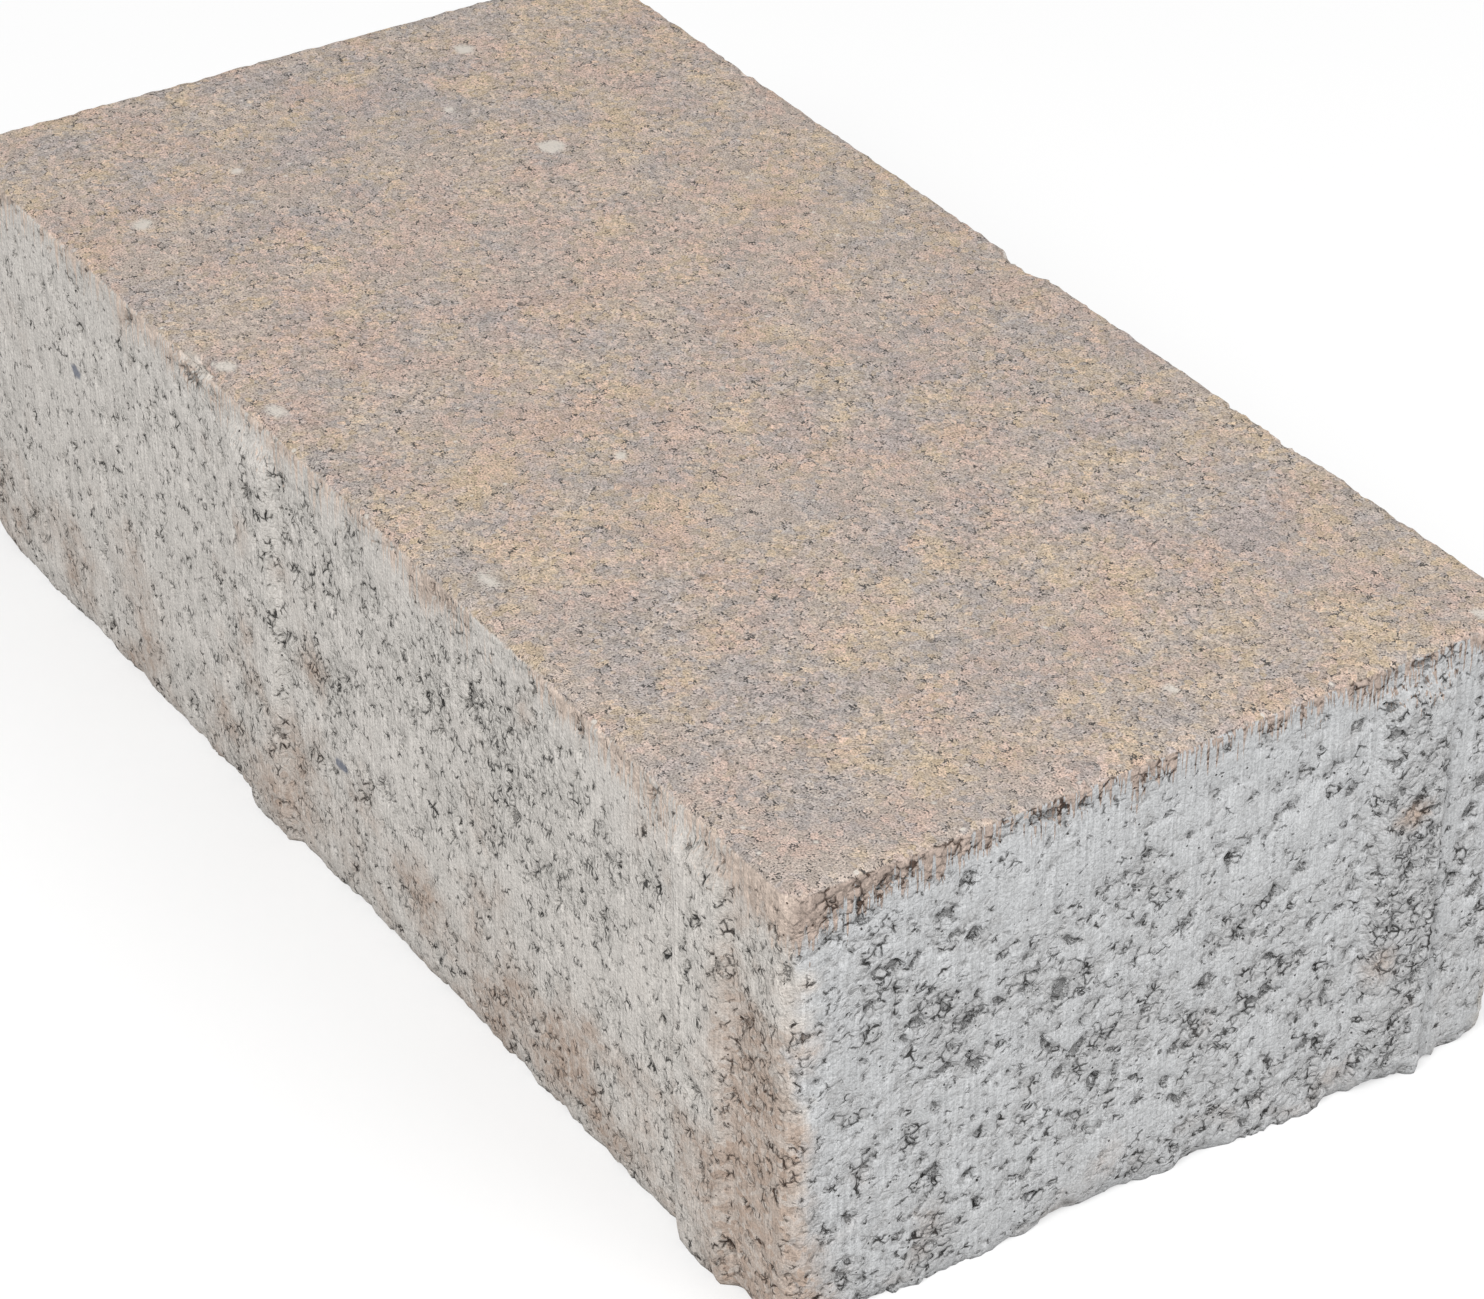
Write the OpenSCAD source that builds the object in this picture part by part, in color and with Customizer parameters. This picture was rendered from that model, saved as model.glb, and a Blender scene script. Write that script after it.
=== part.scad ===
/* [Stone] */
// Length of the stone between its two ends, without the ribs
stone_l = 200; // [140:1:300]
// Width of the stone between its two long sides, without the ribs
stone_w = 100; // [70:1:160]
// Height of the stone from its bed to its walking face
stone_h = 60; // [40:1:120]

/* [Edges] */
// Radius of the four upright corners
corner_r = 3; // [2.5:0.5:8]
// Radius of the edge round the walking face
edge_r = 1; // [0.5:0.25:2]

/* [Spacer ribs] */
// Number of ribs on each long side
long_ribs = 2; // [1:1:4]
// Distance that a rib stands out from its side
rib_out = 1.5; // [0.5:0.25:3]
// Width of a rib where it meets its side
rib_w = 11; // [8:0.5:16]
// Slope of each flank of a rib, measured along the side
rib_flank = 1.5; // [0.5:0.25:3]
// Distance from the middle of a rib to the right-hand end of its stretch of the side
rib_inset = 16.5; // [14:0.5:24]
// Distance from the walking face down to the upper end of a rib
rib_drop = 3; // [2:0.5:15]
// Height over which the upper end of a rib slopes back into its side
rib_lead = 3; // [1:0.5:10]

/* [Hidden] */
$fn = 64;
stone_colour = [0.70, 0.67, 0.64];
// Stretch of a long side that one rib belongs to
rib_pitch = stone_l / long_ribs;
// Depth that the foot of a rib runs on inside the stone
rib_root = rib_out;

// Half of an upright section: it reaches out from x = 0 and has a rounded upper edge
module half_section(reach) {
    square([reach, stone_h - edge_r]);
    square([reach - edge_r, stone_h]);
    translate([reach - edge_r, stone_h - edge_r])
        intersection() {
            circle(edge_r);
            square(edge_r);
        }
}

// Whole upright section between two sides that are 2 * reach apart
module section(reach) {
    half_section(reach);
    mirror([1, 0]) half_section(reach);
}

// Block without ribs: the same section along the length, across the width and round the four corners
module block() {
    rotate([90, 0, 90])
        linear_extrude(stone_l - 2 * corner_r, center = true) section(stone_w / 2);
    rotate([90, 0, 0])
        linear_extrude(stone_w - 2 * corner_r, center = true) section(stone_l / 2);
    for (x = [-1, 1], y = [-1, 1])
        translate([x * (stone_l / 2 - corner_r), y * (stone_w / 2 - corner_r), 0])
            rotate_extrude() half_section(corner_r);
}

// One upright rib that stands out along +X from a side at x = 0, with y = 0 at its middle
module rib() {
    foot = rib_w / 2;
    crest = foot - rib_flank;
    upper_end = stone_h - rib_drop;
    intersection() {
        linear_extrude(stone_h)
            polygon([[-rib_root, -foot], [0, -foot], [rib_out, -crest],
                     [rib_out, crest], [0, foot], [-rib_root, foot]]);
        rotate([90, 0, 0])
            linear_extrude(rib_w, center = true)
                polygon([[-rib_root, 0], [rib_out, 0], [rib_out, upper_end - rib_lead],
                         [0, upper_end], [-rib_root, upper_end]]);
    }
}

// Ribs of one end and of the long side to its left: each sits by the right-hand end of its stretch,
// so that it meets the plain part of the next stone and never that stone's own rib
module ribs_of_half() {
    translate([stone_l / 2, stone_w / 2 - rib_inset, 0]) rib();
    for (k = [0 : long_ribs - 1])
        translate([stone_l / 2 - rib_inset - k * rib_pitch, -stone_w / 2, 0])
            rotate([0, 0, -90]) rib();
}

module paving_stone() {
    color(stone_colour)
        union() {
            block();
            for (turn = [0, 180])
                rotate([0, 0, turn]) ribs_of_half();
        }
}

paving_stone();
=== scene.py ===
"""Concrete paving stone: its pressed surface, the finish of the concrete and a plain studio stage."""
import itertools
import math

import bpy
import numpy as np
from bpy.props import FloatProperty, FloatVectorProperty, IntProperty, PointerProperty
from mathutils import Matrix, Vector


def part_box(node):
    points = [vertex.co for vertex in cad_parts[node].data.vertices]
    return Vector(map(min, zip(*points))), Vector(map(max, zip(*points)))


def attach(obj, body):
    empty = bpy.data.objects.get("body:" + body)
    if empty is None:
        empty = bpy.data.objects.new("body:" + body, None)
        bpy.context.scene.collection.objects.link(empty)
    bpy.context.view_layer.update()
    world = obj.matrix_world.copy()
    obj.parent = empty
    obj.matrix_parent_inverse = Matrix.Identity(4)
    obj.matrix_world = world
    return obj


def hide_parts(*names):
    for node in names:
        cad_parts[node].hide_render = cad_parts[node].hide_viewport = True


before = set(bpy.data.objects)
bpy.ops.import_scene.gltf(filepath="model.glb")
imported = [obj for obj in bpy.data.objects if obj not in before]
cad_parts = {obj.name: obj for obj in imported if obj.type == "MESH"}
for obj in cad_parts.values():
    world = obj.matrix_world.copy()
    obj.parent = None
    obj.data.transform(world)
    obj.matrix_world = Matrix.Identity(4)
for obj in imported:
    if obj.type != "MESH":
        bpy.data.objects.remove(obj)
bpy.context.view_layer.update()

bl_info = {
    "name": "Concrete paving stone",
    "version": (1, 0, 0),
    "blender": (4, 5, 0),
    "location": "View3D > Sidebar > Paving stone",
    "description": "Pressed concrete paving stone with a sandy walking face and open grey sides",
    "category": "Add Mesh",
}

MM = 0.001
NODE = "paving_stone"
NODE_LOW, NODE_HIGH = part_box(NODE)
NODE_SIZE = NODE_HIGH - NODE_LOW
RIB_OUT = 1.5 * MM


# Marks that the photographed stone shows, in millimetres: the place, how far the mark reaches each way
# along x, y and z, and its strength. FLAT is a reach so long that the mark doesn't fade that way.
FLAT = 1000
SLATE_CLOUDS = (
    ((-75, 2, 60), (8, 11, FLAT), 0.13),
    ((-72, -13, 60), (5, 4, FLAT), 0.08),
    ((10, 33, 60), (18, 14, FLAT), 0.05),
    ((27, -5, 60), (7, 11, FLAT), 0.05),
    ((42, -18, 60), (9, 6, FLAT), 0.06),
    ((15, -28, 60), (4, 4, FLAT), 0.10),
    ((67, -28, 60), (6, 8, FLAT), 0.13),
    ((82, -33, 60), (6, 6, FLAT), 0.11),
    ((68, 35, 60), (4, 6, FLAT), 0.14),
    ((61, 41, 60), (3, 3, FLAT), 0.14),
    ((82, -2, 60), (8, 6, FLAT), 0.08),
    ((97, 5, 60), (3, 6, FLAT), 0.12),
    ((92, 22, 60), (4, 4, FLAT), 0.10),
    ((-15, -47, 60), (4, 2, FLAT), 0.35),
    ((31, -45, 60), (4, 1.6, FLAT), 0.30),
    ((-30, 10, 60), (30, 40, FLAT), -0.08),
)
OCHRE_CLOUDS = (
    ((10, -12, 60), (8, 10, FLAT), 0.15),
    ((17, -33, 60), (12, 8, FLAT), 0.12),
    ((27, -23, 60), (5, 4, FLAT), 0.10),
    ((-4, 46, 60), (9, 4, FLAT), 0.12),
    ((-22, 45, 60), (8, 5, FLAT), 0.10),
    ((67, -17, 60), (6, 4, FLAT), 0.13),
    ((66, -4, 60), (5, 4, FLAT), 0.10),
    ((88, 32, 60), (5, 5, FLAT), 0.14),
    ((97, 18, 60), (4, 4, FLAT), 0.10),
    ((-68, 23, 60), (4, 3, FLAT), 0.12),
    ((42, 30, 60), (3, 2, FLAT), 0.16),
    ((-45, -10, 60), (30, 35, FLAT), -0.06),
    ((85, -45, 60), (25, 10, FLAT), -0.10),
)
ROSE_CLOUDS = (
    ((79, 5, 60), (4, 3, FLAT), 0.22),
    ((-20, -10, 60), (35, 25, FLAT), 0.04),
    ((85, -40, 60), (18, 12, FLAT), -0.07),
)
PALE_SPOTS = (
    ((-56, 16, 60), (1.8, 2.0, FLAT), 1.0),
    ((-87.5, 21, 60), (1.8, 1.6, FLAT), 0.9),
    ((-72.5, 10, 60), (1.2, 1.2, FLAT), 0.8),
    ((-72.5, -22, 60), (1.3, 1.3, FLAT), 0.8),
    ((-66, -39, 60), (2.0, 1.6, FLAT), 0.8),
    ((-28, -47, 60), (1.6, 1.4, FLAT), 0.9),
    ((-15, -47, 60), (2.6, 1.6, FLAT), 0.7),
    ((31, -45, 60), (3.0, 1.4, FLAT), 0.7),
    ((16, -18, 60), (1.2, 1.3, FLAT), 0.8),
    ((90, 6, 60), (1.4, 1.2, FLAT), 0.8),
    ((97, 44, 60), (1.4, 1.2, FLAT), 0.9),
)
# Placed pits: sunk into the walking face, and painted dark as shade
DARK_PITS = (
    ((40, 42.5, 60), (0.9, 0.8, FLAT), 1.0),
    ((-22, -9, 60), (0.8, 0.8, FLAT), 1.0),
    ((68, -10, 60), (0.8, 0.8, FLAT), 1.0),
    ((46, -18, 60), (0.6, 0.6, FLAT), 1.0),
    ((43, -24, 60), (0.6, 0.6, FLAT), 1.0),
    ((76, -37, 60), (0.7, 0.7, FLAT), 0.9),
    ((-87, 37, 60), (0.8, 0.7, FLAT), 0.9),
)
BROWN_STAINS = (
    ((89, -50, 26), (8, 4, 26), 0.32),
    ((0, -50, 3), (FLAT, 4, 14), 0.18),
    ((97, -50, 24), (7, 5, 13), 0.45),
    ((98, -50, 4), (9, 5, 9), 0.42),
    ((99, -49, 46), (5, 5, 10), 0.14),
    ((99, -49, 57), (5, 5, 4), 0.45),
    ((100, 0, 3), (4, FLAT, 14), 0.12),
    ((-3, -50, 31), (5, 4, 4), 0.34),
    ((100, 33, 39), (4, 3.5, 2.2), 0.60),
    ((100, 31, 20), (4, 2.5, 3.0), 0.45),
    ((100, 33, 27), (4, 4, 9), 0.20),
    ((24, -50, 13), (8, 4, 5), 0.18),
    ((50, -50, 11), (14, 4, 7), 0.20),
    ((40, -50, 22), (6, 4, 4), 0.15),
    ((60, -50, 12), (30, 4, 10), 0.08),
    ((-17, -50, 18), (8, 4, 20), 0.20),
    ((-55, -50, 11), (16, 4, 8), 0.08),
    ((-60, -50, 30), (5, 4, 7), 0.06),
    ((-92, -50, 25), (8, 4, 30), 0.14),
)
# More than nothing: pressed flat and pale. Less than nothing: left open.
PRESSED_MARKS = (
    ((100, 15, 49), (4, 12, 9), 0.40),
    ((100, -18, 52), (4, 14, 5), 0.30),
    ((100, -24, 25), (4, 5, 6), 0.15),
    ((100, -3, 10), (4, 4, 6), 0.20),
    ((100, 3, 29), (4, 2.5, 6), 0.25),
    ((100, 27, 30), (4, 0.9, 40), 0.20),
    ((100, 40, 30), (4, 1.0, 40), 0.30),
    ((100, -30.5, 5.5), (4, 2.4, 2.6), -1.10),
    ((100, -31, 39), (4, 2.5, 1.5), -0.70),
    ((100, -27, 35), (4, 3.0, 1.5), -0.70),
    ((100, -4, 46), (4, 1.2, 3.0), -0.70),
    ((100, -1, 42), (4, 2.5, 1.2), -0.60),
    ((100, -13, 35), (4, 4.0, 1.5), -0.50),
    ((100, 8, 32), (4, 2.5, 2.0), -0.55),
    ((100, 18, 24), (4, 3.0, 1.0), -0.90),
    ((100, 13, 20), (4, 2.0, 1.0), -0.60),
    ((100, 4, 22), (4, 2.5, 1.0), -0.50),
    ((100, -4, 25), (4, 3.5, 1.0), -0.55),
    ((100, -2.5, 4), (4, 1.5, 1.5), -0.70),
    ((100, 22, 7), (4, 1.2, 2.5), -0.60),
    ((100, 31, 41), (4, 2.0, 2.5), -0.60),
    ((100, 33, 30), (4, 5.0, 26), -0.42),
    ((18, -50, 55), (5, 4, 3), 0.40),
    ((5, -50, 38), (4, 4, 3), 0.40),
    ((12, -50, 27), (5, 4, 5), 0.50),
    ((18, -50, 16), (4, 4, 3), 0.35),
    ((57, -50, 27), (5, 4, 3), 0.45),
    ((65, -50, 54), (12, 4, 4), 0.30),
    ((72, -50, 36), (6, 4, 7), 0.25),
    ((79, -50, 30), (1.2, 4, 40), 0.45),
    ((-80, -50, 40), (10, 4, 14), 0.25),
    ((-45, -50, 18), (10, 4, 4), 0.20),
    ((-65, -50, 36), (30, 4, 60), 0.15),
    ((-3, -50, 31), (4, 4, 2.5), -0.70),
    ((27, -50, 43), (0.9, 4, 1.8), -0.90),
    ((13, -50, 50), (1.5, 4, 1.0), -0.80),
    ((30, -50, 30), (0.9, 4, 1.5), -0.80),
    ((38, -50, 45), (1.2, 4, 1.0), -0.80),
    ((53, -50, 56), (1.2, 4, 0.9), -0.70),
    ((60, -50, 40), (1.2, 4, 1.0), -0.70),
    ((-37, -50, 28), (1.6, 4, 1.6), -0.70),
    ((-48, -50, 52), (2.5, 4, 0.9), -0.70),
    ((-32.5, -50, 57.2), (2.8, 4, 0.8), -2.20),
    ((-31, -50, 59.2), (5.0, 4, 0.9), 0.60),
    ((40, -50, 44), (24, 4, 8), -0.12),
)
BLUE_GRAINS = (
    ((2, -50, 19.6), (2.0, 4, 0.8), 1.0),
    ((-66, -50, 41.7), (1.6, 4, 1.0), 0.9),
)
EDGE_CHIPS = (
    ((-31, -50, 59.5), (5.0, 2.0, 1.7), 1.2),
    ((3.5, 50, 60), (5, 2.0, 2.0), 1.2),
    ((-60.5, 50, 60), (2.0, 1.5, 1.5), 0.8),
    ((46, 50, 60), (2.0, 1.3, 1.3), 0.7),
    ((57, 50, 60), (6.0, 1.5, 1.5), 0.8),
)


# Settings

def number(name, description, default):
    """A plain number that the panel shows."""
    return FloatProperty(name=name, description=description, default=default)


def length(name, description, default):
    """A length in metres that the panel shows."""
    return FloatProperty(name=name, description=description, default=default, unit="LENGTH", precision=5)


def angle(name, description, degrees):
    """An angle, given in degrees."""
    return FloatProperty(name=name, description=description, default=math.radians(degrees), subtype="ANGLE")


def power(name, description, default):
    """A lamp's power in watts."""
    return FloatProperty(name=name, description=description, default=default, subtype="POWER")


def position(name, description, default):
    """A place in metres."""
    return FloatVectorProperty(name=name, description=description, default=default,
                               subtype="XYZ", unit="LENGTH")


def colour(name, description, red, green, blue):
    """A display colour, given as red, green and blue from 0 to 255."""
    shares = (red / 255, green / 255, blue / 255)
    return FloatVectorProperty(name=name, description=description, default=shares,
                               subtype="COLOR_GAMMA", size=3, min=0, max=1)


class StoneSizes(bpy.types.PropertyGroup):
    """Sizes of the stone, as the solid has them, and of its mesh."""
    stone_l: length("Length", "Between the two ends, without ribs", NODE_SIZE.x - 2 * RIB_OUT)
    stone_w: length("Width", "Between the two long sides, without ribs", NODE_SIZE.y - 2 * RIB_OUT)
    stone_h: length("Height", "From the bed to the walking face", NODE_SIZE.z)
    corner_r: length("Corner radius", "Radius of the upright corners", 3 * MM)
    edge_r: length("Edge radius", "Radius of the edge round the walking face", 1 * MM)
    rib_out: length("Rib height", "Distance that a rib stands out from its side", RIB_OUT)
    rib_w: length("Rib width", "Width of a rib at its foot", 11 * MM)
    rib_flank: length("Rib flank", "Slope of each flank, along the side", 1.5 * MM)
    rib_inset: length("Rib inset", "From a rib's middle to the right-hand end of its stretch", 16.5 * MM)
    rib_pitch: length("Rib pitch", "Stretch of a side that one rib belongs to", 100 * MM)
    rib_drop: length("Rib drop", "From the walking face to a rib's upper end", 3 * MM)
    rib_lead: length("Rib lead", "Height over which a rib's upper end slopes back", 3 * MM)
    mesh_step: length("Mesh step", "Distance between neighbouring points of the surface", 0.42 * MM)
    triangles: IntProperty(name="Triangles", description="Triangles of the thinned mesh", default=194000)


class StoneRelief(bpy.types.PropertyGroup):
    """Sizes of the grains, hollows and chips in the surface."""
    end_grain: length("End grain", "Size of the grains that show on the two ends", 1.5 * MM)
    side_grain: length("Side grain", "Size of the grains that show on the long sides", 1.3 * MM)
    side_draw: number("Side draw", "How far the hollows of the long sides are drawn out upright", 1.5)
    end_fill: number("End fill", "How flat the grains of the ends are pressed, in grains", 0.26)
    side_fill: number("Side fill", "How flat the grains of the long sides are pressed, in grains", 0.26)
    sand_depth: length("Sand depth", "Depth of the relief of the walking face", 0.16 * MM)
    top_crumb: length("Upper crumbling", "Depth of the crumbling of the upper edge", 0.25 * MM)
    chip: length("Chips", "Depth of the chips that are broken out of the upper edge", 1.2 * MM)
    bed_wear: length("Lower wear", "Depth of the wear of the lower edge", 1.6 * MM)
    seed: IntProperty(name="Seed", description="Start of the random draws", default=11)


class StoneColours(bpy.types.PropertyGroup):
    """Colours of the facing mix, the cement and what stains them, with painted shade for cracks and hollows
    and painted light on the long sides.
    """
    tan: colour("Tan", "Main colour of the walking face", 185, 172, 162)
    ochre: colour("Ochre", "Yellow clouds in the walking face", 203, 182, 153)
    slate: colour("Slate", "Blue-grey clouds in the walking face", 164, 160, 160)
    rose: colour("Rose", "Reddish clouds in the walking face", 195, 167, 154)
    pale: colour("Pale", "Pale pebbles in the walking face, and its chips", 218, 211, 202)
    paste: colour("Paste", "Cement dragged smooth on the ends", 194, 195, 196)
    grit: colour("Grit", "Open concrete on the ends", 182, 182, 182)
    # Painted light, besides a warmer hue: the long sides' paste, grit and fringe are lighter than the ends'
    # paste, grit and crumb, to make up for the fill lamp, which lights only the ends
    lit_warm_paste: colour("Warm paste", "Cement dragged smooth on the long sides", 215, 210, 204)
    lit_warm_grit: colour("Warm grit", "Open concrete on the long sides", 202, 198, 192)
    stain: colour("Stain", "Brown bloom on the sides", 184, 165, 151)
    fringe: colour("Fringe", "Facing mix under the upper edge of the long sides", 204, 187, 174)
    crumb: colour("Crumb", "Facing mix under the upper edge of the ends", 178, 161, 150)
    # Painted shade: hollow and its brown copy are the dark painted into cracks, creases, pinholes and
    # hollows, where shade falls
    hollow: colour("Hollow", "Depth of the hollows", 62, 61, 60)
    stained_hollow_shade: colour("Brown hollow", "Depth of the hollows in stained places", 84, 66, 56)
    blue: colour("Blue", "Dark blue grains in the sides", 96, 104, 122)


class StageSettings(bpy.types.PropertyGroup):
    """Camera, lamps and floor."""
    camera: position("Camera", "Place of the camera", (0.4115, -0.2587, 0.3374))
    azimuth: angle("Azimuth", "Camera's turn round the upright axis", 56.92)
    elevation: angle("Elevation", "Camera's height above the horizon", 33.37)
    sensor: number("Sensor", "Width of the camera's sensor in millimetres", 36)
    lens: number("Lens", "Focal length in millimetres on that sensor", 111.6)
    nearest: length("Nearest", "Distance at which the camera begins to see", 0.01)
    key_place: position("Key place", "Place of the lamp on the left", (0.70, -0.92, 1.10))
    key_size: length("Key size", "Width of the lamp on the left", 0.6)
    key_power: power("Key", "Power of the lamp on the left", 14)
    fill_place: position("Fill place", "Place of the lamp on the right", (1.2, 0.5, 1.1))
    fill_size: length("Fill size", "Width of the lamp on the right", 0.8)
    fill_power: power("Fill", "Power of the lamp on the right", 10)
    sky: number("Sky", "Strength of the even light all round", 0.52)
    floor_half: length("Floor", "From the middle of the floor to its edge", 3.0)
    floor: colour("Floor colour", "Colour of the floor", 190, 190, 190)


class PavingStone(bpy.types.PropertyGroup):
    """All settings of the stone and its stage."""
    sizes: PointerProperty(type=StoneSizes)
    relief: PointerProperty(type=StoneRelief)
    colours: PointerProperty(type=StoneColours)
    stage: PointerProperty(type=StageSettings)


# Noise on whole arrays of points

# Large odd factors, and shifts by bits, that stir the random numbers
AXIS_FACTORS = (np.uint32(73856093), np.uint32(19349663), np.uint32(83492791))
SEED_FACTOR = 2654435761
STIRS = ((np.uint32(15), np.uint32(2246822519)), (np.uint32(13), np.uint32(3266489917)))
# Largest number of ten bits
TEN_BITS = 1023


def scramble(cell, seed):
    """Random whole numbers of 32 bits, one for each lattice cell: the three indices are multiplied by
    large odd numbers, joined by exclusive or, and stirred by shifts and multiplications."""
    x, y, z = (cell[..., k].astype(np.int32).view(np.uint32) * AXIS_FACTORS[k] for k in range(3))
    mixed = x ^ y ^ z ^ np.uint32(seed * SEED_FACTOR % 2**32)
    for shift, factor in STIRS * 2:
        mixed = (mixed ^ (mixed >> shift)) * factor
    return mixed ^ (mixed >> np.uint32(16))


def three_shares(number):
    """Three numbers from 0 to 1 out of the low, middle and high ten bits of each random number."""
    bits = [(number >> np.uint32(shift)) & np.uint32(TEN_BITS) for shift in (0, 10, 20)]
    return np.stack(bits, axis=-1).astype(np.float32) / np.float32(TEN_BITS)


def drift(points, seed):
    """Smooth noise of about -1 to 1: each lattice corner has a random slope, and the eight slopes round
    a point are blended with the fade 6t^5 - 15t^4 + 10t^3."""
    points = points.astype(np.float32)
    cell = np.floor(points)
    inside = points - cell
    fade = inside ** 3 * (inside * (inside * 6 - 15) + 10)
    total = np.zeros(len(points), np.float32)
    for corner in itertools.product((0, 1), repeat=3):
        offset = np.array(corner, np.float32)
        slope = three_shares(scramble(cell + offset, seed)) * 2 - 1
        weight = np.prod(np.where(offset == 1, fade, 1 - fade), axis=1)
        total += weight * np.sum(slope * (inside - offset), axis=1)
    return total * np.float32(1.5)


def clouds(points, seed, octaves=4, fall=0.5):
    """Sum of drifts, each at twice the frequency of the one before and at its height times fall."""
    return sum(drift(points * 2 ** k, seed + k) * fall ** k for k in range(octaves))


def nearest_grain(points, seed):
    """Distance to the nearest of the grain centres, of which each lattice cell holds one at random, and
    a random number from 0 to 1 that belongs to that grain."""
    points = points.astype(np.float32)
    cell = np.floor(points)
    best = np.full(len(points), np.inf, np.float32)
    draw = np.zeros(len(points), np.float32)
    for corner in itertools.product((-1, 0, 1), repeat=3):
        neighbour = cell + np.array(corner, np.float32)
        number = scramble(neighbour, seed)
        gap = np.sum((neighbour + three_shares(number) - points) ** 2, axis=1)
        closer = gap < best
        best = np.where(closer, gap, best)
        draw = np.where(closer, three_shares(scramble(neighbour, seed + 1))[:, 0], draw)
    return np.sqrt(best), draw


def rise(value, low, high):
    """Smooth step: 0 under low, 1 over high and 3t^2 - 2t^3 between."""
    t = np.clip((value - low) / (high - low), 0, 1)
    return t * t * (3 - 2 * t)


# Plain surface of the stone

def plan_ring(sizes, steps_l, steps_w):
    """Closed outline of the plan, counter-clockwise from the front left corner.

    Each side runs from the middle of one corner arc to the middle of the next. A station q along it lies
    on the straight while |q| is under the straight's half length, and beyond that turns with the arc by
    (|q| - half) / corner radius. Returns the centre line of the corner arcs, the outward normal, and the
    place along the side from its middle, all as arrays round the ring."""
    core, normal, along, half_side = [], [], [], []
    half_l, half_w = sizes.stone_l / 2, sizes.stone_w / 2
    for turn in range(4):
        half, depth, steps = (half_l, half_w, steps_l) if turn % 2 == 0 else (half_w, half_l, steps_w)
        straight = half - sizes.corner_r
        reach = straight + sizes.corner_r * math.pi / 4
        q = np.linspace(-reach, reach, steps, endpoint=False)
        bend = np.sign(q) * np.clip((np.abs(q) - straight) / sizes.corner_r, 0, None)
        out = np.array([(0, -1), (1, 0), (0, 1), (-1, 0)][turn], float)
        tangent = np.array([-out[1], out[0]])
        on_core = np.clip(q, -straight, straight)
        core.append(np.outer(on_core, tangent) + (depth - sizes.corner_r) * out)
        normal.append(np.outer(np.cos(bend), out) + np.outer(np.sin(bend), tangent))
        along.append(on_core + sizes.corner_r * np.sin(bend))
        half_side.append(np.full(steps, half))
    return np.concatenate(core), np.concatenate(normal), np.concatenate(along), np.concatenate(half_side)


def rib_height(sizes, along, half_side, z):
    """How far the ribs stand out: the lower of a trapezoid across the rib and a slope at its upper end.
    A rib's middle lies rib_inset from the right-hand end of each stretch of rib_pitch."""
    to_end = half_side - along
    from_middle = np.abs(np.mod(to_end, sizes.rib_pitch) - sizes.rib_inset)
    across = np.clip((sizes.rib_w / 2 - from_middle) / sizes.rib_flank, 0, 1)
    upper = np.clip((sizes.stone_h - sizes.rib_drop - z) / sizes.rib_lead, 0, 1)
    return sizes.rib_out * np.minimum(across[None, :], upper[:, None])


def coons(rim, steps_l, steps_w):
    """Flat patch inside a closed rim: the sum of the two blends between opposite rims, less the blend of
    the four corners. Rim points run round the four sides of the patch."""
    front = rim[:steps_l + 1]
    right = rim[steps_l:steps_l + steps_w + 1]
    back = rim[steps_l + steps_w:2 * steps_l + steps_w + 1][::-1]
    left = np.concatenate([rim[2 * steps_l + steps_w:], rim[:1]])[::-1]
    u = np.linspace(0, 1, steps_l + 1)[:, None, None]
    v = np.linspace(0, 1, steps_w + 1)[None, :, None]
    across = (1 - v) * front[:, None] + v * back[:, None]
    length_wise = (1 - u) * left[None] + u * right[None]
    corners = (1 - u) * ((1 - v) * left[0] + v * left[-1]) + u * ((1 - v) * right[0] + v * right[-1])
    return across + length_wise - corners


def patch_index(first_rim, first_inner, steps_l, steps_w):
    """Point numbers of a patch: its border is the ring that starts at first_rim, and its inside is new."""
    index = np.zeros((steps_l + 1, steps_w + 1), np.int64)
    ring = first_rim + np.arange(2 * (steps_l + steps_w))
    index[:-1, 0] = ring[:steps_l]
    index[-1, :-1] = ring[steps_l:steps_l + steps_w]
    index[:0:-1, -1] = ring[steps_l + steps_w:2 * steps_l + steps_w]
    index[0, :0:-1] = ring[2 * steps_l + steps_w:]
    inner = (steps_l - 1) * (steps_w - 1)
    index[1:-1, 1:-1] = first_inner + np.arange(inner).reshape(steps_l - 1, steps_w - 1)
    return index


def grid_quads(index):
    """Four point numbers for each cell of a grid of point numbers."""
    corners = [index[:-1, :-1], index[1:, :-1], index[1:, 1:], index[:-1, 1:]]
    return np.stack(corners, axis=-1).reshape(-1, 4)


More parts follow.
